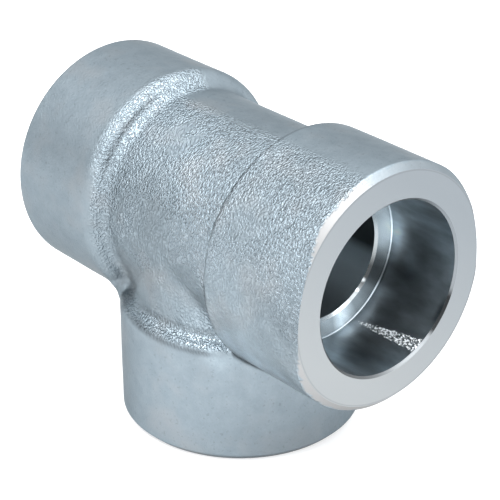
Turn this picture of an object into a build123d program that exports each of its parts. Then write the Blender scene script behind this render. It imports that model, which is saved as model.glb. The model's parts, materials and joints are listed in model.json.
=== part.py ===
from build123d import *
from math import cos, radians, sin, tan
import os

# A forged socket weld tee for 3/4 inch pipe: three equal arms, each with a thick band
# around its socket. The run lies along X. The branch points down and stands on Z = 0,
# with the origin at the middle of its end face. All sizes are in millimetres.

# Forged outside
centre_to_end = 33.6
band_diameter = 39.0
band_length = 19.4
body_diameter = 33.9
shoulder_angle = 60
shoulder_rounding = 1.9
shoulder_foot_radius = 1.4
slope_kept = 0.95
crotch_radius = 1.8
crotch_end_gap = 5.6

margin = 0.01

# Corners of the front end that the forging dies left slack, one on each side
slack_depth = 1.25
slack_radius = 30.0
slack_slope = 16
slack_drop = 1.5
slack_length = 100.0

# Turned ends
face_chamfer = 1.05
face_chamfer_angle = 45
socket_diameter = 27.4
socket_depth = 13.6
mouth_bevel = 0.35
floor_corner_radius = 0.25
flow_diameter = 20.6
flow_edge_bevel = 0.4

# Sizes that follow from the ones above
band_radius = band_diameter / 2
body_radius = body_diameter / 2
shoulder_height = band_radius - body_radius
band_start = centre_to_end - band_length
full_band_start = band_start + shoulder_rounding * tan(radians(shoulder_angle / 2))
face_radius = band_radius - face_chamfer
face_chamfer_length = face_chamfer / tan(radians(face_chamfer_angle))
socket_floor = centre_to_end - socket_depth

# Share of the two shoulder roundings that fits on the slope between them
slope_length = shoulder_height / sin(radians(shoulder_angle))
slope_needed = (shoulder_rounding + shoulder_foot_radius) * tan(radians(shoulder_angle / 2))
rounding_share = min(1, slope_kept * slope_length / slope_needed)

centre = Vector(0, 0, centre_to_end)
run_out = Plane(origin=centre, x_dir=(0, 1, 0), z_dir=(1, 0, 0))
branch_out = Plane(origin=centre, x_dir=(0, 1, 0), z_dir=(0, 0, -1))
front_end = run_out.offset(centre_to_end)
rear_end = Plane(origin=(-centre_to_end, 0, centre.Z), x_dir=(0, 1, 0), z_dir=(-1, 0, 0))
branch_end = branch_out.offset(centre_to_end)


# Outside of one arm, turned about Z from the tee's middle up to the arm's end face
shoulder_foot = (body_radius, band_start - shoulder_height / tan(radians(shoulder_angle)))
shoulder_top = (band_radius, band_start)

with BuildPart() as arm:
    with BuildSketch(Plane.XZ) as profile:
        with BuildLine():
            Polyline(
                (0, 0),
                (body_radius, 0),
                shoulder_foot,
                shoulder_top,
                (band_radius, centre_to_end - face_chamfer_length),
                (face_radius, centre_to_end),
                (0, centre_to_end),
                close=True,
            )
        make_face()
        corners = profile.vertices()
        fillet(corners.sort_by_distance(shoulder_top)[0], rounding_share * shoulder_rounding)
        fillet(corners.sort_by_distance(shoulder_foot)[0], rounding_share * shoulder_foot_radius)
    revolve(axis=Axis.Z)


# Front arm, whose end corner falls away a little on each side
with BuildPart() as front_arm:
    with Locations(run_out):
        add(arm.part)
    slack_reach = slack_radius / cos(radians(slack_slope))
    for side in (-1, 1):
        slack_middle = (centre_to_end, side * (band_radius - slack_depth - slack_reach), centre.Z - slack_drop)
        slack_direction = (1, -side * tan(radians(slack_slope)), 0)
        with BuildSketch(Plane(slack_middle, x_dir=(0, 0, 1), z_dir=slack_direction)):
            Circle(slack_radius)
        extrude(amount=slack_length, both=True, mode=Mode.INTERSECT)


# Rounded corner where the front band meets the branch band
with BuildPart() as crotch:
    for arm_out in (run_out, branch_out):
        with BuildSketch(arm_out):
            Circle(band_radius)
        extrude(amount=centre_to_end - crotch_end_gap)
    past_shoulders = centre + Vector(full_band_start, 0, -full_band_start)
    split(bisect_by=Plane(origin=past_shoulders, z_dir=(1, 0, -1)), keep=Keep.TOP)
    crease = crotch.edges().filter_by(
        lambda edge: all(abs((edge @ t).X + (edge @ t).Z - centre.Z) < margin for t in (0, 0.3, 1))
        and edge.geom_type != GeomType.LINE
    )
    fillet(crease, crotch_radius)
    corner_block = band_radius + 2 * crotch_radius - full_band_start
    block_middle = full_band_start + corner_block / 2
    with Locations((block_middle, 0, centre.Z - block_middle)):
        Box(corner_block, band_diameter, corner_block, mode=Mode.INTERSECT)


# The whole tee, one forging
with BuildPart() as tee_body:
    add(front_arm.part)
    with Locations(rear_end.offset(-centre_to_end)):
        add(arm.part)
    with Locations(branch_out):
        add(arm.part)
    add(crotch.part)
    mirror(crotch.part, about=Plane.YZ)

    # Socket and flow passage of each arm
    with Locations(front_end, rear_end, branch_end):
        CounterBoreHole(
            radius=flow_diameter / 2,
            counter_bore_radius=socket_diameter / 2,
            counter_bore_depth=socket_depth,
            depth=centre_to_end,
        )


def rings(radius, distance):
    """Circular edges of one radius whose middle is at one distance from the tee's middle."""
    circles = tee_body.edges().filter_by(GeomType.CIRCLE)
    return circles.filter_by(
        lambda edge: abs(edge.radius - radius) < margin
        and abs((edge.arc_center - centre).length - distance) < margin
    )


with tee_body:
    chamfer(rings(socket_diameter / 2, centre_to_end), mouth_bevel)
    chamfer(rings(flow_diameter / 2, socket_floor), flow_edge_bevel)
    fillet(rings(socket_diameter / 2, socket_floor), floor_corner_radius)

tee_body.part.label = "tee_body"

os.makedirs("parts", exist_ok=True)
export_step(tee_body.part, "parts/tee_body.step")
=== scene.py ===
import json
from math import cos, pi, radians, sin, tan
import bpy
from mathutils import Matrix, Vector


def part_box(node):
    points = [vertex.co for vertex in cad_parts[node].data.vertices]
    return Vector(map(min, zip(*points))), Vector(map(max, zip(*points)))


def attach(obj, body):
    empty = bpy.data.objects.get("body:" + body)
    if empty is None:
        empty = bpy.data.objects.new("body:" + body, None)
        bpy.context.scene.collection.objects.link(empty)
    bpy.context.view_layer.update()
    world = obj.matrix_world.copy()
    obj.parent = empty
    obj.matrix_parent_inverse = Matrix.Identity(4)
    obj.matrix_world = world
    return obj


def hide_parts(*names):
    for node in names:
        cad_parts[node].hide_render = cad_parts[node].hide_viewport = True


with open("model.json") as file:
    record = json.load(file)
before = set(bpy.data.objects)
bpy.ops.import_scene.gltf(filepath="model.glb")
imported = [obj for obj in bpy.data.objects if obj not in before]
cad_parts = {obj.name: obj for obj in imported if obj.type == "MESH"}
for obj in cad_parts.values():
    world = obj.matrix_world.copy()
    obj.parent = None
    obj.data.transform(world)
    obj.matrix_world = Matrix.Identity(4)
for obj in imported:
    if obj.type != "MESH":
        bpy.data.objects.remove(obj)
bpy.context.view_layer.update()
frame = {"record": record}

from types import SimpleNamespace

import bmesh
import bpy
import numpy as np
from mathutils import Matrix, Vector, noise

# A forged socket weld tee on a pale floor. The run lies along X and the branch points down.
# All sizes are in metres. The outside is one grid of rings for each arm, laid on a soft skin
# that joins the three arms, and the same rings run on over the turned end into the socket.
mm = 0.001

# Sizes that the frame gives
low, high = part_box("tee_body")
arm_length = high.x
band_radius = high.y
middle = Vector((0, 0, arm_length))
mounts = {mount["name"]: mount for mount in frame["record"]["mounts"]}
socket_radius = mounts["front_socket"]["dims"]["r_mm"] * mm

# Forged outside
band_length = 19.4 * mm
body_radius = 16.95 * mm
shoulder_angle = radians(60)
shoulder_rounding = {"front": 0.7 * mm, "rear": 2.8 * mm, "branch": 1.6 * mm}
shoulder_foot_radius = {"front": 0.5 * mm, "rear": 2.1 * mm, "branch": 1.3 * mm}
neck_crossing_radius = 5.0 * mm
front_crossing_radius = 1.0 * mm
rear_crossing_radius = 3.6 * mm
neck_end = 8.0 * mm
bands_cross = 17.0 * mm

# Corner of the front end that the dies left slack, one on each side
slack_depth = 1.25 * mm
slack_radius = 30.0 * mm
slack_slope = radians(16)
slack_drop = 1.5 * mm
slack_blend = 1.0 * mm

# Turned ends
face_chamfer = 1.05 * mm
chamfer_blur = 0.12 * mm
# How much of the chamfer's turned colour each arm shows; the lower shares on the rear and the branch are
# painted shade
chamfer_turned_share_and_shade = {"front": 1.0, "rear": 0.5, "branch": 0.15}
# Painted shade: share by which the front chamfer's turned colour fades towards the top, and the angles of
# that fade
chamfer_painted_fade = 0.8
chamfer_painted_fade_angles = (70, 80)
chamfer_unevenness = 0.5 * mm
chamfer_wavelength = 0.9 * mm
socket_depth = 13.6 * mm
mouth_bevel = 0.35 * mm
floor_corner_radius = 0.25 * mm
flow_radius = 10.3 * mm
flow_edge_bevel = 0.4 * mm

# Grid of the mesh
ring_points = 288
skin_rings = 78
end_rings = 13
end_zone = 2.0 * mm
straight_zone = 24.0 * mm
ramp_start = 10.0 * mm
ramp_end = 16.0 * mm
step = 0.001 * mm
least_reach = 1e-6
floor_corner_angles = (pi / 6, pi / 3, pi / 2)
skin_steps = 5
thirds = (1 / 3, 2 / 3, 1)
sharp_angle = radians(28)

# How coarse the grain of the skin is, and where it is coarser or calmer: place, reach, strength
body_grain = 0.8
front_grain = 0.7
band_grain = 0.1
grain_patches = (
    ((-2 * mm, -9 * mm, 14.3 * mm), 6 * mm, 0.65),
    ((8 * mm, -12 * mm, 12 * mm), 8 * mm, 1.05),
    ((11 * mm, -16 * mm, 5 * mm), 7 * mm, 0.95),
    ((22 * mm, -9 * mm, 17 * mm), 8 * mm, 1.1),
    ((30 * mm, -14 * mm, 12 * mm), 7 * mm, 1.1),
    ((33 * mm, -19 * mm, 3 * mm), 5 * mm, 1.2),
    ((20.2 * mm, -15 * mm, 12.0 * mm), 2.8 * mm, 0.3),
    ((24 * mm, -19 * mm, -6 * mm), 8 * mm, 0.35),
    ((-1 * mm, -17 * mm, 2 * mm), 5 * mm, 0.6),
    ((-13 * mm, -15 * mm, -9 * mm), 6 * mm, 0.3),
    ((7 * mm, -16 * mm, -7 * mm), 5 * mm, 0.45),
    ((2.5 * mm, -16.9 * mm, -10.8 * mm), 3.5 * mm, 0.3),
    ((-4.5 * mm, -16.9 * mm, -11.3 * mm), 3.2 * mm, 0.25),
    ((-13.7 * mm, -13.5 * mm, -12.9 * mm), 2.8 * mm, 0.1),
)
patch_unevenness = 0.6
patch_wavelength = 3.5 * mm

# Calm top of the run: the angle where it starts on the front band and elsewhere, the angle over
# which it sets in, the angles between which it ends on the far side, and its strength
calm_start = {"front_band": 70, "elsewhere": 80}
calm_onset = 9
calm_end = (150, 170)
calm_strength = 0.93

# Shoulders with coarse grain and a painted highlight: how coarse they are and how much brighter
# the painted highlight makes them, how far they lie before the band and their reach, both at the
# first and at the last angle, the angles where they start, are full, fade and end, and the width
# and level of their dark edges of painted shade. Angles go from the side of the tee towards the
# top, or on the branch towards the front
shoulder_grain = {"rear": 1.15, "branch": 1.0}
shoulder_painted_highlight = {"rear": 0.15, "branch": 0.1}
shoulder_place = {"rear": (0.7 * mm, 0.7 * mm), "branch": (1.15 * mm, 0.75 * mm)}
shoulder_reach = {"rear": (2.0 * mm, 2.0 * mm), "branch": (0.3 * mm, 0.8 * mm)}
shoulder_angles = {"rear": (10, 40, 98, 106), "branch": (-28, -4, 33, 38)}
shoulder_painted_shade_edge = {"rear": (0.2 * mm, 1.0), "branch": (0.42 * mm, 0.55)}

# Painted lines round the run's shoulders: dark lines of painted shade round the rear and the front
# shoulder, and a painted highlight beside the front one. For each: how far it lies before the band,
# its reach, the power of its falloff, its level, and the angles between which it sets in and between
# which it ends
rear_painted_shade_line = (0.75 * mm, 0.25 * mm, 2, 0.5, (20, 32), (66, 78))
front_painted_shade_line = (0.25 * mm, 0.5 * mm, 4, 0.2, (-90, -60), (62, 70))
front_painted_highlight_line = (1.9 * mm, 1.1 * mm, 2, 1.25, (25, 45), (90, 110))

# Dark line of painted shade in the crease where the front band meets the branch: reach and level
crease_painted_shade = (0.45 * mm, 0.35)

# Dark line of painted shade under the front band: angle, reach in degrees and level
under_band_painted_shade = (-46.3, 1.5, 0.45)

# Darker and lighter parts of the skin, mostly painted shade and painted highlights, partly the
# skin's own mottling: place, reach and level
painted_light_and_mottle_patches = (
    ((-1 * mm, -17 * mm, 2 * mm), 7 * mm, 0.78),
    ((33 * mm, -19 * mm, 0 * mm), 6 * mm, 0.80),
    ((-25 * mm, -19 * mm, 0 * mm), 12 * mm, 0.88),
    ((16 * mm, -5 * mm, -30 * mm), 9 * mm, 0.85),
    ((14.8 * mm, -8.3 * mm, 17 * mm), 0.8 * mm, 1.5),
    ((17.2 * mm, -6.8 * mm, 18 * mm), 0.8 * mm, 1.4),
    ((17.6 * mm, -16.2 * mm, -10.9 * mm), 5.5 * mm, 1.55),
    ((24 * mm, -15.5 * mm, -12 * mm), 5.5 * mm, 1.35),
    ((-1 * mm, -17 * mm, -9 * mm), 5 * mm, 0.92),
    ((0 * mm, -9.5 * mm, 14 * mm), 6 * mm, 1.1),
    ((3 * mm, -2 * mm, 17 * mm), 6 * mm, 0.9),
    ((23 * mm, -2 * mm, 19 * mm), 7 * mm, 0.93),
    ((4 * mm, -19 * mm, -25 * mm), 12 * mm, 1.08),
    ((24 * mm, -18.5 * mm, -6 * mm), 6 * mm, 1.1),
    ((6 * mm, -16.8 * mm, -1.5 * mm), 4 * mm, 0.91),
    ((-13.9 * mm, -13.6 * mm, -12.8 * mm), 1.8 * mm, 0.75),
    ((6 * mm, -13.5 * mm, 10 * mm), 5 * mm, 1.08),
    ((31 * mm, -14.0 * mm, -13.5 * mm), 5 * mm, 1.25),
    ((29 * mm, -19 * mm, 0 * mm), 6 * mm, 0.9),
    ((7.5 * mm, -15.3 * mm, -10.5 * mm), 3 * mm, 1.25),
    ((-9.5 * mm, -15.6 * mm, -13.4 * mm), 2 * mm, 0.7),
)

# Corner of the rear shoulder and the branch's shoulder, which is filled and smoothed
corner_place = (-13.6 * mm, 13.4 * mm, -13.2 * mm)
corner_reach = 3.0 * mm
corner_fill = 3.5 * mm
corner_rounds = 4
corner_smoothing = 12
smoothing_share = 0.5

# Unevenness of the forged skin: wavelength and depth of each layer
unevenness = ((11.0 * mm, 0.05 * mm), (3.2 * mm, 0.025 * mm), (1.5 * mm, 0.02 * mm))


def rounded_outline(corners, radii, arc_steps=64):
    """The outline through the corners, with each inner corner turned into an arc."""
    corners = [np.array(corner) for corner in corners]
    points = [corners[0]]
    for before, corner, after, radius in zip(corners, corners[1:], corners[2:], radii):
        back = (before - corner) / np.linalg.norm(before - corner)
        on = (after - corner) / np.linalg.norm(after - corner)
        half_angle = np.arccos(back @ on) / 2
        bisector = (back + on) / np.linalg.norm(back + on)
        centre = corner + bisector * radius / sin(half_angle)
        first = corner + back * radius / tan(half_angle) - centre
        last = corner + on * radius / tan(half_angle) - centre
        turn = np.arccos(first @ last / radius**2)
        for share in np.linspace(0, 1, arc_steps):
            towards = sin((1 - share) * turn) * first + sin(share * turn) * last
            points.append(centre + towards / sin(turn))
    points.append(corners[-1])
    return np.array(points)


# Outside of each arm, as its radius and softened slope at each distance from the tee's middle
band_start = arm_length - band_length
shoulder_foot = band_start - (band_radius - body_radius) / tan(shoulder_angle)
table_places = 3361
blur_places = 161
distance_table = np.linspace(0, arm_length, table_places)
slope_blur = np.hanning(blur_places) / np.hanning(blur_places).sum()
radius_tables, slope_tables = {}, {}
for arm_name, rounding in shoulder_rounding.items():
    corners = (
        (0, body_radius),
        (shoulder_foot, body_radius),
        (band_start, band_radius),
        (arm_length, band_radius),
    )
    outline = rounded_outline(corners, (shoulder_foot_radius[arm_name], rounding))
    radii = np.interp(distance_table, outline[:, 0], outline[:, 1])
    radius_tables[arm_name] = radii
    slope_tables[arm_name] = np.convolve(np.gradient(radii, distance_table), slope_blur, mode="same")
grid_radii = np.interp(distance_table, (ramp_start, ramp_end), (body_radius, band_radius))


def smooth_step(value, start, end):
    """0 up to the start, 1 from the end, and a soft change between them."""
    share = np.clip((value - start) / (end - start), 0, 1)
    return share**2 * (3 - 2 * share)


def arm_gap(arm, distance, radius):
    """How far a point lies outside the arm's surface."""
    surface = np.interp(distance, distance_table, radius_tables[arm])
    slope = np.interp(distance, distance_table, slope_tables[arm])
    return (radius - surface) / np.sqrt(1 + slope**2)


def soft_lowest(first, second, blend):
    """The lower of two values, with the change from one to the other rounded over a width."""
    share = np.clip(blend - abs(first - second), 0, None) / np.maximum(blend, step)
    return np.minimum(first, second) - blend * share**2 / 4


def arm_gaps(points):
    """How far points lie outside the run and outside the branch."""
    x, y, z = points.T
    run_radius = np.hypot(y, z)
    run = np.where(x > 0, arm_gap("front", x, run_radius), arm_gap("rear", -x, run_radius))
    for side in (-1, 1):
        along = np.array((cos(slack_slope), -side * sin(slack_slope), 0))
        reach = slack_radius / cos(slack_slope)
        from_axis = points - (arm_length, side * (band_radius - slack_depth - reach), -slack_drop)
        slack = np.linalg.norm(np.cross(from_axis, along), axis=1) - slack_radius
        run = -soft_lowest(-run, np.where(x > 0, -slack, arm_length), slack_blend)
    branch = np.where(z < 0, arm_gap("branch", -z, np.hypot(x, y)), arm_length)
    return run, branch


def skin_gap(points):
    """How far points lie outside the forged skin, with the tee's middle as the origin."""
    x, y, z = points.T
    run, branch = arm_gaps(points)
    end_radius = np.where(x > 0, front_crossing_radius, rear_crossing_radius)
    neck_share = 1 - smooth_step(abs(x), neck_end, bands_cross)
    crossing_radius = end_radius + neck_share * (neck_crossing_radius - end_radius)
    for side in (-1, 1):
        away = np.linalg.norm(points - np.array(corner_place) * (1, side, 1), axis=1)
        crossing_radius = crossing_radius + corner_fill * np.exp(-((away / corner_reach) ** 2))
    facing = y**2 / np.maximum(np.hypot(y, z) * np.hypot(x, y), step**2)
    blend = 4 * crossing_radius * (1 - np.sqrt((1 + facing) / 2))
    return soft_lowest(run, branch, blend)


def skin_direction(points):
    """Unit normals of the skin at points."""
    parts = []
    for axis in np.eye(3):
        parts.append(skin_gap(points + step * axis) - skin_gap(points - step * axis))
    slopes = np.stack(parts, axis=1) / (2 * step)
    return slopes / np.linalg.norm(slopes, axis=1)[:, None]


def dents(points):
    """Depth of the forged skin's unevenness at points."""
    depth = np.zeros(len(points))
    for wavelength, most in unevenness:
        waves = [noise.noise(Vector(point) / wavelength) for point in points]
        depth += most * (0.5 + 0.5 * np.clip(waves, -1, 1))
    return depth


def on_skin(points):
    """The points moved onto the skin, with its unevenness."""
    for _ in range(skin_steps):
        points = points - skin_gap(points)[:, None] * skin_direction(points)
    return points - dents(points)[:, None] * skin_direction(points)


def skin_places(points):
    """Where on the skin points lie: arm, distance along it, and angles in degrees."""
    x, y, z = points.T
    on_branch = -z > abs(x)
    return SimpleNamespace(
        points=points,
        x=x,
        distance=np.where(on_branch, -z, abs(x)),
        run_angle=np.degrees(np.arctan2(z, -y)),
        branch_angle=np.degrees(np.arctan2(x, -y)),
        on={"front": ~on_branch & (x > 0), "rear": ~on_branch & (x < 0), "branch": on_branch},
        waves=np.array([noise.noise(Vector(point) / patch_wavelength) for point in points]),
    )


def patch(at, place, reach):
    """1 at a place, falling unevenly to 0 at a few times the reach."""
    away = np.linalg.norm(at.points - np.array(place), axis=1) * (1 + patch_unevenness * at.waves)
    return np.exp(-((away / reach) ** 2))


def level_at(level, share):
    """The level where the share is 1, and 1 where it is 0."""
    return 1 + (level - 1) * share


def patched_looks(at):
    """Grain of the bands and the middle, and their brightness from painted shade, painted highlights and
    some mottling, with their patches.
    """
    on_calm_arm = at.on["branch"] | (at.x < 0)
    on_band = np.where(on_calm_arm, band_grain, front_grain)
    grain = np.where(at.distance > band_start, on_band, body_grain)
    for place, reach, level in grain_patches:
        grain += patch(at, place, reach) * (level - grain)
    shade = np.ones(len(at.x))
    for place, reach, level in painted_light_and_mottle_patches:
        shade *= level_at(level, patch(at, place, reach))
    return grain, shade


def calm_top(at):
    """1 on the calm top of the run, and 0 on its sides and on the branch."""
    start = np.where(at.x > band_start, calm_start["front_band"], calm_start["elsewhere"])
    calm = smooth_step(at.run_angle, start, start + calm_onset) * (1 - smooth_step(at.run_angle, *calm_end))
    return np.where(at.on["branch"], 0, calm)


def coarse_highlit_shoulder(arm, distance, angle):
    """1 on the coarse part of one arm's shoulder, which carries a painted highlight, and 0 beside it, and
    the level of its dark edges of painted shade.
    """
    first, full, fading, last = shoulder_angles[arm]
    before = np.interp(angle, (first, last), shoulder_place[arm])
    reach = np.interp(angle, (first, last), shoulder_reach[arm])
    width, level = shoulder_painted_shade_edge[arm]
    away = abs(distance - band_start + before)
    inside = smooth_step(angle, first, full) * (1 - smooth_step(angle, fading, last))
    edge = np.exp(-(((away - reach - width) / width) ** 2)) * inside
    return np.exp(-((away / reach) ** 4)) * inside, level_at(level, edge)


def add_shoulders(at, grain, shade):
    """Make the rear shoulder and the branch's shoulder coarser, with a painted highlight and dark edges of
    painted shade.
    """
    for arm, angle in (("rear", at.run_angle), ("branch", at.branch_angle)):
        share, edge = coarse_highlit_shoulder(arm, at.distance, angle)
        share = np.where(at.on[arm], share, 0)
        grain += share * (shoulder_grain[arm] - grain)
        shade *= np.where(at.on[arm], edge, 1) * (1 + share * shoulder_painted_highlight[arm])


def shoulder_line(at, arm, line):
    """Share of a fine line round a shoulder of the run, 1 on it and 0 beside it, and its level."""
    before, reach, power, level, first, last = line
    across = np.exp(-(((at.distance - band_start + before) / reach) ** power))
    along = smooth_step(at.run_angle, *first) * (1 - smooth_step(at.run_angle, *last))
    share = np.where(at.on[arm], across * along, 0)
    return share, level


def paint_shade_and_highlight_lines(at, calm, grain, shade):
    """Paint the dark lines of shade round the shoulders, in the crossing's crease and under the front band,
    and the highlight beside the front shoulder.
    """
    # Dark lines of painted shade round the rear and front shoulders, and a painted highlight beside the
    # front one
    share, level = shoulder_line(at, "rear", rear_painted_shade_line)
    shade *= level_at(level, share)
    share, level = shoulder_line(at, "front", front_painted_shade_line)
    grain *= 1 - share
    shade *= level_at(level, share)
    share, level = shoulder_line(at, "front", front_painted_highlight_line)
    shade *= level_at(level, share * (1 - calm))

    # Painted shade along the crease where the front band meets the branch
    reach, level = crease_painted_shade
    run, branch = arm_gaps(at.points)
    share = np.exp(-(((run - branch) / reach) ** 2)) * smooth_step(at.x, shoulder_foot, band_start)
    shade *= level_at(level, share)
    # Painted shade in a line under the front band
    angle, reach, level = under_band_painted_shade
    away = (at.run_angle - angle) / (reach * (1 + patch_unevenness * at.waves))
    share = np.exp(-(away**2)) * smooth_step(at.x, band_start, body_radius)
    shade *= level_at(level, np.where(at.on["branch"], 0, share))


def skin_looks(points):
    """How coarse the grain is at points, from 0 to about 1, and how bright the skin is, with painted shade,
    painted highlights and some mottling.
    """
    at = skin_places(points)
    grain, shade = patched_looks(at)
    calm = calm_top(at)
    grain *= 1 - calm_strength * calm
    add_shoulders(at, grain, shade)
    paint_shade_and_highlight_lines(at, calm, grain, shade)
    return grain, shade


# Regions of the mesh, in the order of their materials
regions = ("skin", "face", "bore", "floor", "flow")

# Angles round each arm, from the side of the branch, or on the branch from the front
angles = 2 * pi * np.arange(ring_points) / ring_points
side_axis = np.array((0, 1, 0))
arms = {
    "front": (np.array((1, 0, 0)), np.array((0, 0, -1))),
    "rear": (np.array((-1, 0, 0)), np.array((0, 0, -1))),
    "branch": (np.array((0, 0, -1)), np.array((1, 0, 0))),
}


def ring(arm, distance, radius):
    """One ring of points round an arm. Distance and radius may change with the angle."""
    axis, down = arms[arm]
    distance = np.broadcast_to(distance, ring_points)[:, None]
    radius = np.broadcast_to(radius, ring_points)[:, None]
    around = np.cos(angles)[:, None] * down + np.sin(angles)[:, None] * side_axis
    return distance * axis + radius * around


def first_distances(arm, radius_at):
    """Where each line along an arm starts: on the plane between two arms, or at the middle."""
    starts = []
    for angle in angles:
        reach = abs(cos(angle)) if arm == "branch" else cos(angle)
        inside = distance_table < radius_at * reach
        last = np.flatnonzero(inside)[-1] if inside.any() and reach > least_reach else None
        if last is None:
            starts.append(0)
            continue
        left, right = distance_table[last], distance_table[last + 1]
        at = np.broadcast_to(radius_at, distance_table.shape)
        gap_left = at[last] * reach - left
        gap_right = at[last + 1] * reach - right
        starts.append(left + (right - left) * gap_left / (gap_left - gap_right))
    return np.array(starts)


def off_axis(points, axis):
    """The part of each point's place that lies square to an axis."""
    return points - (points @ axis)[:, None] * axis


def rough_rings(arm):
    """Points of the rings near one arm's forged outside, from where the arm starts to its end."""
    starts = first_distances(arm, grid_radii)
    rings = []
    for share in np.linspace(0, 1, skin_rings + 1):
        distance = starts + share * (arm_length - end_zone - starts)
        rings.append(ring(arm, distance, np.interp(distance, distance_table, grid_radii)))
    for distance in np.linspace(arm_length - end_zone, arm_length, end_rings + 1)[1:]:
        rings.append(ring(arm, distance, band_radius))
    return np.concatenate(rings)


def chamfered(points, axis, radial, near_end):
    """The skin's points, cut by the turned chamfer, and how far the cut lies inside the skin."""
    along = points @ axis
    radius = np.linalg.norm(off_axis(points, axis), axis=1)
    cone = band_radius - (along - (arm_length - face_chamfer))
    cut = np.where(near_end, radius - cone, -end_zone)
    cut_points = along[:, None] * axis + np.minimum(radius, cone)[:, None] * radial
    return np.where((cut > 0)[:, None], cut_points, points), cut


def skin_grid(arm):
    """Rings of the forged outside and the chamfer, and how far the cut lies inside the skin."""
    points = rough_rings(arm)
    axis = arms[arm][0]
    near_end = points @ axis > straight_zone
    radial = off_axis(points, axis)
    radial /= np.linalg.norm(radial, axis=1)[:, None]
    for _ in range(skin_steps):
        direction = skin_direction(points)
        way = np.where(near_end[:, None], radial, direction)
        points -= (skin_gap(points) / np.sum(way * direction, axis=1))[:, None] * way
    way = np.where(near_end[:, None], radial, skin_direction(points))
    points -= dents(points)[:, None] * way
    points, cut = chamfered(points, axis, radial, near_end)
    return points.reshape(-1, ring_points, 3), cut


def inner_rings(arm, outer_radius):
    """Rings of the turned face, the socket and the flow bore, with the region of each."""
    made = []
    mouth_radius = socket_radius + mouth_bevel
    for share in thirds:
        made.append((ring(arm, arm_length, outer_radius + share * (mouth_radius - outer_radius)), "face"))
    made.append((ring(arm, arm_length - mouth_bevel, socket_radius), "face"))
    wall_start = arm_length - mouth_bevel
    floor = arm_length - socket_depth
    wall_end = floor + floor_corner_radius
    for share in thirds:
        made.append((ring(arm, wall_start + share * (wall_end - wall_start), socket_radius), "bore"))
    for angle in floor_corner_angles:
        distance = floor + floor_corner_radius * (1 - sin(angle))
        made.append((ring(arm, distance, socket_radius - floor_corner_radius * (1 - cos(angle))), "bore"))
    made.append((ring(arm, floor, flow_radius + flow_edge_bevel), "floor"))
    made.append((ring(arm, floor - flow_edge_bevel, flow_radius), "floor"))
    start = floor - flow_edge_bevel
    crossing = first_distances(arm, flow_radius)
    for share in thirds:
        made.append((ring(arm, start + share * (crossing - start), flow_radius), "flow"))
    return made


def soften_corners(work):
    """Smooth the skin where the rear shoulder meets the branch's shoulder."""
    every_way = {"use_axis_x": True, "use_axis_y": True, "use_axis_z": True}
    for side in (-1, 1):
        corner = middle + Vector(corner_place) * Vector((1, side, 1))
        near = [vert for vert in work.verts if (vert.co - corner).length < corner_reach]
        for _ in range(corner_rounds):
            for _ in range(corner_smoothing):
                bmesh.ops.smooth_vert(work, verts=near, factor=smoothing_share, **every_way)
            for vert, point in zip(near, on_skin(np.array([vert.co - middle for vert in near]))):
                vert.co = middle + Vector(point)


def turned_share(arm, grid, cut):
    """How much of the turned chamfer's looks each point of the skin's grid has, lowered as painted shade on
    the rear and the branch and towards the front's top.
    """
    waves = [noise.noise(Vector(point) / chamfer_wavelength) for point in grid.reshape(-1, 3)]
    uneven_cut = cut - chamfer_unevenness * np.abs(waves)
    share = np.clip(0.5 + uneven_cut / chamfer_blur, 0, 1) * chamfer_turned_share_and_shade[arm]
    if arm == "front":
        run_angle = np.degrees(np.arctan2(grid[..., 2], -grid[..., 1])).ravel()
        share *= 1 - chamfer_painted_fade * smooth_step(run_angle, *chamfer_painted_fade_angles)
    return share


def arm_rings(arm):
    """All rings of one arm, the region that follows each of them, and their turned shares."""
    grid, cut = skin_grid(arm)
    outer_radius = np.linalg.norm(off_axis(grid[-1], arms[arm][0]), axis=1)
    inner = inner_rings(arm, outer_radius)
    rings = list(grid) + [made for made, region in inner]
    ring_regions = ["skin"] * (len(grid) - 1) + [region for made, region in inner]
    shares = [turned_share(arm, grid, cut), np.ones(len(inner) * ring_points)]
    return rings, ring_regions, shares


def ring_faces(first, rows):
    """Faces with four corners between rings, whose points are numbered from the first."""
    faces = []
    for start in range(first, first + rows * ring_points, ring_points):
        for place in range(ring_points):
            near = start + place
            beside = start + (place + 1) % ring_points
            faces.append((near, beside, ring_points + beside, ring_points + near))
    return faces


def close_mesh(mesh):
    """Join the arms into one closed skin, and mark the edges that stay sharp."""
    work = bmesh.new()
    work.from_mesh(mesh)
    bmesh.ops.remove_doubles(work, verts=work.verts, dist=step)
    bmesh.ops.recalc_face_normals(work, faces=work.faces)
    soften_corners(work)
    open_edges = [edge for edge in work.edges if not edge.is_manifold]
    print("tee mesh:", len(work.verts), "points,", len(work.faces), "faces,", len(open_edges), "open edges")
    for face in work.faces:
        face.smooth = True
    for edge in work.edges:
        forged = all(face.material_index == regions.index("skin") for face in edge.link_faces)
        edge.smooth = forged or edge.calc_face_angle(0) < sharp_angle
    work.to_mesh(mesh)
    work.free()


def tee_mesh():
    """The whole tee as one closed mesh, with the attributes that its materials read."""
    rings, faces, materials, shares = [], [], [], []
    for arm in arms:
        made, ring_regions, arm_shares = arm_rings(arm)
        faces += ring_faces(len(rings) * ring_points, len(ring_regions))
        materials += [regions.index(region) for region in ring_regions for _ in range(ring_points)]
        rings += made
        shares += arm_shares
    points = np.concatenate(rings)
    mesh = bpy.data.meshes.new("forged_tee")
    mesh.from_pydata(points + np.array(middle), [], faces)
    mesh.polygons.foreach_set("material_index", materials)
    grain, shade = skin_looks(points)
    for name, values in (("turned", np.concatenate(shares)), ("grain", grain), ("shade", shade)):
        mesh.attributes.new(name, "FLOAT", "POINT").data.foreach_set("value", values)
    close_mesh(mesh)
    return mesh


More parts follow.
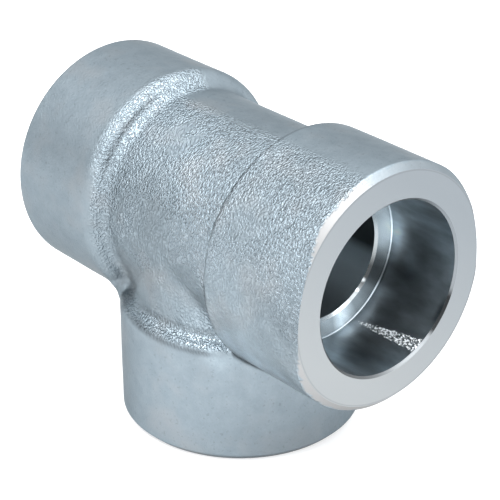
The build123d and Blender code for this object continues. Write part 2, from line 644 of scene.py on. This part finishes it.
def add(tree, kind, inputs=None, **settings):
    """A new node, with its settings, and its inputs set or linked."""
    made = tree.nodes.new(kind)
    for name, value in settings.items():
        setattr(made, name, value)
    for name, value in (inputs or {}).items():
        if isinstance(value, bpy.types.NodeSocket):
            tree.links.new(value, made.inputs[name])
        else:
            made.inputs[name].default_value = value
    return made


def object_place(tree):
    """Each point's place in the CAD frame."""
    return add(tree, "ShaderNodeTexCoord").outputs["Object"]


def attribute(tree, name):
    """The value of one of the mesh's attributes."""
    return add(tree, "ShaderNodeAttribute", attribute_name=name).outputs["Fac"]


def calculate(tree, operation, *values):
    """A number worked out from numbers."""
    return add(tree, "ShaderNodeMath", dict(enumerate(values)), operation=operation).outputs[0]


def combine(tree, operation, *vectors):
    """A vector worked out from vectors."""
    return add(tree, "ShaderNodeVectorMath", dict(enumerate(vectors)), operation=operation).outputs[0]


def measure(tree, operation, *vectors):
    """A number worked out from vectors."""
    return add(tree, "ShaderNodeVectorMath", dict(enumerate(vectors)), operation=operation).outputs["Value"]


def spread(tree, value, span, levels=(0.0, 1.0), kind="LINEAR"):
    """The first level up to the span's start, the last from its end, and a change inside it."""
    inputs = {"Value": value, "From Min": span[0], "From Max": span[1]}
    inputs.update({"To Min": levels[0], "To Max": levels[1]})
    return add(tree, "ShaderNodeMapRange", inputs, interpolation_type=kind).outputs[0]


def waves_at(tree, place, scale, detail, **more):
    """Soft noise at a place."""
    inputs = {"Vector": place, "Scale": scale, "Detail": detail, **more}
    return add(tree, "ShaderNodeTexNoise", inputs).outputs["Fac"]


def scaled(tree, colour, level):
    """The colour times a level."""
    return add(tree, "ShaderNodeVectorMath", {0: colour, "Scale": level}, operation="SCALE").outputs[0]


# Places of a mix node's colours among its inputs and its outputs
colour_inputs = (6, 7)
colour_output = 2


def blend_colours(tree, share, first, second):
    """The mix of two colours, each a plain colour or the output of a node."""
    mix = tree.nodes.new("ShaderNodeMix")
    mix.data_type = "RGBA"
    tree.links.new(share, mix.inputs["Factor"])
    for place, colour in zip(colour_inputs, (first, second)):
        if isinstance(colour, bpy.types.NodeSocket):
            tree.links.new(colour, mix.inputs[place])
        else:
            mix.inputs[place].default_value = (*colour, 1)
    return mix.outputs[colour_output]


def metal(name, colour, roughness, edge_level):
    """A new material with a metal shader, and its tree."""
    material = bpy.data.materials.new(name)
    material.use_nodes = True
    tree = material.node_tree
    shader = tree.nodes["Principled BSDF"]
    shader.inputs["Metallic"].default_value = 1.0
    shader.inputs["Base Color"].default_value = (*colour, 1)
    shader.inputs["Roughness"].default_value = roughness
    shader.inputs["Specular Tint"].default_value = (edge_level, edge_level, edge_level, 1)
    return material, tree, shader


# Looks of the forged skin
skin_dark = (0.207, 0.253, 0.286)
skin_light = (0.244, 0.292, 0.327)
skin_warm = (0.252, 0.285, 0.310)
skin_roughness = 0.4
calm_roughness = 0.48
coarse_roughness = 0.2
skin_edge_level = 0.45
chamfer_colour = (0.34, 0.345, 0.35)

# Grain of the forged skin: waves per metre, how steep its pebbles rise, its depth, and the
# painted highlight that brightens the colour on its crests
grain_scale = 2400
grain_stretch = (1.3, 1.0, 1.0)
grain_detail = 2.5
grain_distortion = 0.25
pebble_span = (0.36, 0.64)
grain_depth = 0.15 * mm
crest_painted_highlight = 1.3

# Stains, warm tints and dark specks of the forged skin
stain_scale = 420
stain_detail = 5.0
stain_roughness = 0.65
stain_span = (0.3, 0.7)
tint_scale = 150
tint_detail = 2.0
tint_span = (0.5, 0.75)
speck_scale = 1700
speck_detail = 2.0
speck_span = (0.62, 0.72)
speck_level = 0.84


def pebbles(tree, place):
    """Height of the grain's pebbles, from 0 to 1."""
    stretched = combine(tree, "MULTIPLY", place, grain_stretch)
    waves = waves_at(tree, stretched, grain_scale, grain_detail, Distortion=grain_distortion)
    return spread(tree, waves, pebble_span, kind="SMOOTHSTEP")


def stained_colour(tree, place):
    """The skin's colour, with stains and warm tints."""
    stains = waves_at(tree, place, stain_scale, stain_detail, Roughness=stain_roughness)
    tints = waves_at(tree, place, tint_scale, tint_detail)
    colour = blend_colours(tree, spread(tree, stains, stain_span), skin_dark, skin_light)
    return blend_colours(tree, spread(tree, tints, tint_span), colour, skin_warm)


def forged_skin():
    """Shot-blasted skin, which turns into bright metal where the chamfer cuts it."""
    material, tree, shader = metal("forged_skin", skin_light, skin_roughness, skin_edge_level)
    place = object_place(tree)
    turned = attribute(tree, "turned")
    depth = calculate(tree, "MULTIPLY", attribute(tree, "grain"), calculate(tree, "SUBTRACT", 1.0, turned))
    height = calculate(tree, "MULTIPLY", pebbles(tree, place), depth)
    bump = add(tree, "ShaderNodeBump", {"Height": height, "Distance": grain_depth, "Strength": 1.0})
    tree.links.new(bump.outputs["Normal"], shader.inputs["Normal"])

    specks = spread(tree, waves_at(tree, place, speck_scale, speck_detail), speck_span, (1.0, speck_level))
    # The shade attribute carries the skin's painted shade and painted highlights, with some mottling
    level = calculate(tree, "MULTIPLY", attribute(tree, "shade"), specks)
    # Painted highlight: the colour is brighter on the grain's crests
    level = calculate(tree, "MULTIPLY", level, spread(tree, height, (0.0, 1.0), (1.0, crest_painted_highlight)))
    colour = blend_colours(tree, turned, scaled(tree, stained_colour(tree, place), level), chamfer_colour)
    tree.links.new(colour, shader.inputs["Base Color"])
    roughness = spread(tree, depth, (0.0, 1.0), (calm_roughness, coarse_roughness))
    tree.links.new(roughness, shader.inputs["Roughness"])
    return material


# Looks of the turned face, with painted shade that darkens it a little towards the top
face_lit_colour = (0.300, 0.320, 0.332)
face_shaded_colour = (0.220, 0.246, 0.268)
face_roughness = 0.36
face_edge_level = 0.6
face_upwards = (0, 0.6, 0.8)
face_span = (12 * mm, 42 * mm)

# Thin line on the face inside the chamfer
face_line_radius = 18.25 * mm
face_line_reach = 0.16 * mm
face_line_level = 0.8

# Looks of the socket's wall and floor and of the flow bore
wall_colour = (0.32, 0.365, 0.395)
wall_roughness = 0.34
wall_level = 1.25
floor_colour = (0.56, 0.61, 0.64)
floor_roughness = 0.25
flow_colour = (0.29, 0.34, 0.37)
flow_roughness = 0.42
bored_edge_level = 0.8

# Brushed look of the socket's wall
brush_stretch = (0.4, 1.0, 1.0)
brush_scale = 420
brush_detail = 4.0
brush_span = (0.3, 0.7)
brush_levels = (0.72, 1.28)

# Painted reflections and painted shade round the run, on the mouth's bevel, the socket's floor and
# the flow bore: angle from the far side, upwards, and level
angle_range = (-110, 50)
bevel_painted_reflections = (
    (-110, 0.5), (-84, 0.7), (-68, 0.8), (-60, 0.85), (-52, 0.8),
    (-47, 0.12), (-24, 0.12), (-18, 0.9), (50, 0.9),
)
floor_painted_reflections = (
    (-110, 0.8), (-90, 0.7), (-83, 0.55), (-75, 1.15), (-68, 0.85),
    (-60, 0.4), (-54, 0.5), (-46, 0.3), (-38, 0.12), (-26, 0.12),
    (-16, 0.4), (-6, 0.58), (8, 0.62), (20, 0.62), (50, 0.9),
)
flow_painted_reflections = ((-110, 1.0), (-70, 1.6), (-50, 2.5), (-32, 2.6), (-18, 1.7), (-9, 0.3), (50, 0.12))

# Painted highlights and painted shade in the front socket, as softly lighter and darker spots: place
# from the tee's middle and reach, both in millimetres, and change of level
wall_painted_light_spots = (
    ((21.2, 13.6, 0.4), (3.6, 5, 4.4), 1.3),
    ((24.5, 13.6, -2.5), (4.2, 5, 2.4), 0.5),
    ((25.0, 12.8, -5.5), (6.0, 4, 2.6), -0.5),
    ((28.0, 12.9, 4.5), (9.0, 4, 1.2), 0.5),
    ((22.0, 10.6, -8.7), (3.4, 1.6, 1.6), 0.9),
    ((26.0, 9.4, -10.0), (6.0, 1.2, 1.2), 0.35),
    ((21.4, 3.8, -13.2), (2.2, 2.6, 4), 0.9),
    ((27.0, 0.0, -13.7), (9.0, 6.0, 5), -0.75),
    ((33.2, 11.2, -7.9), (1.3, 3.4, 3.4), -0.9),
    ((20.1, 11.8, -6.5), (0.6, 4.0, 4.0), -0.9),
)
floor_painted_highlights = (
    ((19.7, 8.0, -6.6), (0.7, 0.55, 0.55), 1.0),
    ((19.7, 6.7, -7.9), (0.7, 0.5, 0.5), 1.2),
)

# Speckled streak of rough chatter on the front socket's wall, wider towards the mouth, whose specks
# have a near-white colour as a painted highlight. Angles are from the far side, upwards
streak_start = 20.8 * mm
streak_end = 33.2 * mm
streak_onset = 1.0 * mm
streak_top = (-63.5, -54.5)
streak_bottom = -68.0
streak_soft = 2.0
streak_scale = 3600
streak_detail = 1.0
streak_span = (0.46, 0.58)
streak_highlight_colour = (0.93, 0.96, 0.98)
streak_roughness = 0.8


def from_middle(tree, place):
    """The place, measured from the tee's middle."""
    return combine(tree, "SUBTRACT", place, middle)


def round_run(tree, place):
    """Distance along the run, and angle round it from the far side, upwards."""
    parts = add(tree, "ShaderNodeSeparateXYZ", {0: from_middle(tree, place)}).outputs
    return parts["X"], calculate(tree, "ARCTAN2", parts["Z"], parts["Y"])


def levels_round(tree, place, stops):
    """The level at each angle round the run, led through the stops."""
    first, last = angle_range
    share = spread(tree, round_run(tree, place)[1], (radians(first), radians(last)))
    ramp = add(tree, "ShaderNodeValToRGB", {"Fac": share})
    elements = ramp.color_ramp.elements
    for degrees, level in stops[1:-1]:
        elements.new((degrees - first) / (last - first))
    for element, (degrees, level) in zip(elements, stops):
        element.color = (level, level, level, 1)
    return ramp.outputs["Color"]


def with_spots(tree, place, level, spots):
    """The level with soft spots of painted light and shade added to it."""
    for spot, reach, change in spots:
        offset = combine(tree, "SUBTRACT", place, middle + Vector(spot) * mm)
        reaches = combine(tree, "MULTIPLY", offset, [1 / (length * mm) for length in reach])
        away = measure(tree, "LENGTH", reaches)
        level = calculate(tree, "ADD", level, spread(tree, away, (0.0, 1.0), (change, 0.0), "SMOOTHSTEP"))
    return level


def face_line(tree, radius):
    """The level of the face, lower on the thin line inside the chamfer."""
    away = calculate(tree, "ABSOLUTE", calculate(tree, "SUBTRACT", radius, face_line_radius))
    return spread(tree, away, (0.0, face_line_reach), (face_line_level, 1.0))


def turned_face():
    """The turned face, with painted shade towards the top, and the bevel of the socket's mouth, with
    painted reflections round it.
    """
    material, tree, shader = metal("turned_face", face_lit_colour, face_roughness, face_edge_level)
    place = object_place(tree)
    height = measure(tree, "DOT_PRODUCT", place, face_upwards)
    # Painted shade: the face's colour darkens towards the top
    colour = blend_colours(tree, spread(tree, height, face_span), face_lit_colour, face_shaded_colour)
    radius = measure(tree, "LENGTH", combine(tree, "MULTIPLY", from_middle(tree, place), (0, 1, 1)))
    on_face = calculate(tree, "GREATER_THAN", radius, socket_radius + mouth_bevel)
    # Painted reflections on the mouth's bevel
    levels = {"Factor": on_face, "A": levels_round(tree, place, bevel_painted_reflections), "B": face_line(tree, radius)}
    level = add(tree, "ShaderNodeMix", levels).outputs["Result"]
    tree.links.new(scaled(tree, colour, level), shader.inputs["Base Color"])
    return material


def streak_share(tree, place):
    """1 on the specks of the streak and 0 elsewhere."""
    along, angle = round_run(tree, place)
    top = spread(tree, along, (streak_start, streak_end), [radians(degrees) for degrees in streak_top])
    below = calculate(tree, "SUBTRACT", top, angle)
    above = calculate(tree, "SUBTRACT", angle, radians(streak_bottom))
    inside = calculate(tree, "MINIMUM", below, above)
    inside = spread(tree, inside, (-radians(streak_soft), radians(streak_soft)))
    begun = spread(tree, along, (streak_start - streak_onset, streak_start + streak_onset))
    inside = calculate(tree, "MULTIPLY", inside, begun)
    specks = calculate(tree, "MULTIPLY", inside, waves_at(tree, place, streak_scale, streak_detail))
    return spread(tree, specks, streak_span)


def bored_wall():
    """The bored wall of the socket, with soft spots of painted highlight and shade, brushing, and the
    streak of chatter with its painted highlight.
    """
    material, tree, shader = metal("bored_wall", wall_colour, wall_roughness, bored_edge_level)
    place = object_place(tree)
    brushed = combine(tree, "MULTIPLY", place, brush_stretch)
    waves = spread(tree, waves_at(tree, brushed, brush_scale, brush_detail), brush_span, brush_levels)
    level = calculate(tree, "MULTIPLY", with_spots(tree, place, wall_level, wall_painted_light_spots), waves)
    specks = streak_share(tree, place)
    # The streak's specks get a near-white colour, a painted highlight, and a higher roughness
    colour = blend_colours(tree, specks, scaled(tree, wall_colour, level), streak_highlight_colour)
    tree.links.new(colour, shader.inputs["Base Color"])
    roughness = spread(tree, specks, (0.0, 1.0), (wall_roughness, streak_roughness))
    tree.links.new(roughness, shader.inputs["Roughness"])
    return material


def socket_floor():
    """The ring at the bottom of the socket, with painted reflections round it and painted highlights."""
    material, tree, shader = metal("socket_floor", floor_colour, floor_roughness, bored_edge_level)
    place = object_place(tree)
    level = with_spots(tree, place, levels_round(tree, place, floor_painted_reflections), floor_painted_highlights)
    tree.links.new(scaled(tree, floor_colour, level), shader.inputs["Base Color"])
    return material


def flow_wall():
    """The wall of the flow bore, with painted reflections and painted shade round it."""
    material, tree, shader = metal("flow_wall", flow_colour, flow_roughness, bored_edge_level)
    level = levels_round(tree, object_place(tree), flow_painted_reflections)
    tree.links.new(scaled(tree, flow_colour, level), shader.inputs["Base Color"])
    return material


tee = bpy.data.objects.new("forged_tee", tee_mesh())
bpy.context.scene.collection.objects.link(tee)
for material in (forged_skin(), turned_face(), bored_wall(), socket_floor(), flow_wall()):
    tee.data.materials.append(material)
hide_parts("tee_body")
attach(tee, "root")


# Pale floor, just below the tee
stage_size = 2.0
stage_drop = 0.02 * mm
stage_colour = (0.55, 0.55, 0.55)
stage_roughness = 0.8
stage_glow = 0.5


def pale_floor():
    """A large plain floor that glows a little, so that it stays pale."""
    corners = [(-stage_size, -stage_size, 0), (stage_size, -stage_size, 0)]
    corners += [(stage_size, stage_size, 0), (-stage_size, stage_size, 0)]
    mesh = bpy.data.meshes.new("floor")
    mesh.from_pydata(corners, [], [(0, 1, 2, 3)])
    floor = bpy.data.objects.new("floor", mesh)
    bpy.context.scene.collection.objects.link(floor)
    floor.location.z = -stage_drop
    material = bpy.data.materials.new("pale_floor")
    material.use_nodes = True
    shader = material.node_tree.nodes["Principled BSDF"]
    shader.inputs["Base Color"].default_value = (*stage_colour, 1)
    shader.inputs["Roughness"].default_value = stage_roughness
    shader.inputs["Specular IOR Level"].default_value = 0.0
    shader.inputs["Emission Color"].default_value = (1, 1, 1, 1)
    shader.inputs["Emission Strength"].default_value = stage_glow
    mesh.materials.append(material)


pale_floor()


# Brighter and darker parts of the studio: direction, inner and outer angle, and change of level
studio_level = 1.4
studio_parts = (
    ((0.25, -0.05, 0.965), 20, 50, 3.6),
    ((0.75, 0.45, 0.50), 8, 28, 0.8),
    ((-0.25, -0.60, 0.76), 8, 27, 2.4),
    ((-0.68, 0.60, 0.42), 10, 35, -0.2),
    ((-0.98, 0.00, 0.10), 15, 42, -0.9),
    ((-0.68, -0.73, 0.03), 3, 17, -0.5),
)


def studio_world():
    """Light from all round, with soft brighter and darker parts."""
    world = bpy.data.worlds.new("studio")
    world.use_nodes = True
    tree = world.node_tree
    background = tree.nodes["Background"]
    direction = add(tree, "ShaderNodeTexCoord").outputs["Generated"]
    level = studio_level
    for towards, inner, outer, change in studio_parts:
        facing = measure(tree, "DOT_PRODUCT", direction, Vector(towards).normalized())
        part = spread(tree, facing, (cos(radians(outer)), cos(radians(inner))), (0.0, change), "SMOOTHSTEP")
        level = calculate(tree, "ADD", part, level)
    tree.links.new(level, background.inputs["Strength"])
    background.inputs["Color"].default_value = (1, 1, 1, 1)
    bpy.context.scene.world = world


studio_world()
bpy.context.scene.view_settings.view_transform = "Standard"

# Camera at the photo's viewpoint
azimuth = radians(49.3097)
elevation = radians(26.8393)
roll = radians(-0.1701)
camera_distance = 286.07 * mm
camera_right = 1.5 * mm
camera_up = -5.678 * mm
focal_pixels = 1817.43
picture_pixels = 500
sensor_width = 36
nearest_seen = 10 * mm

back = Vector((sin(azimuth) * cos(elevation), -cos(azimuth) * cos(elevation), sin(elevation)))
right = Vector((cos(azimuth), sin(azimuth), 0))
up = back.cross(right)
turned_right = cos(roll) * right + sin(roll) * up
turned_up = cos(roll) * up - sin(roll) * right
camera_data = bpy.data.cameras.new("camera")
camera_data.sensor_width = sensor_width
camera_data.lens = focal_pixels / picture_pixels * sensor_width
camera_data.clip_start = nearest_seen
camera = bpy.data.objects.new("camera", camera_data)
bpy.context.scene.collection.objects.link(camera)
camera_place = middle + camera_distance * back + camera_right * turned_right + camera_up * turned_up
turn = Matrix((turned_right, turned_up, back)).transposed()
camera.matrix_world = Matrix.Translation(camera_place) @ turn.to_4x4()
bpy.context.scene.camera = camera
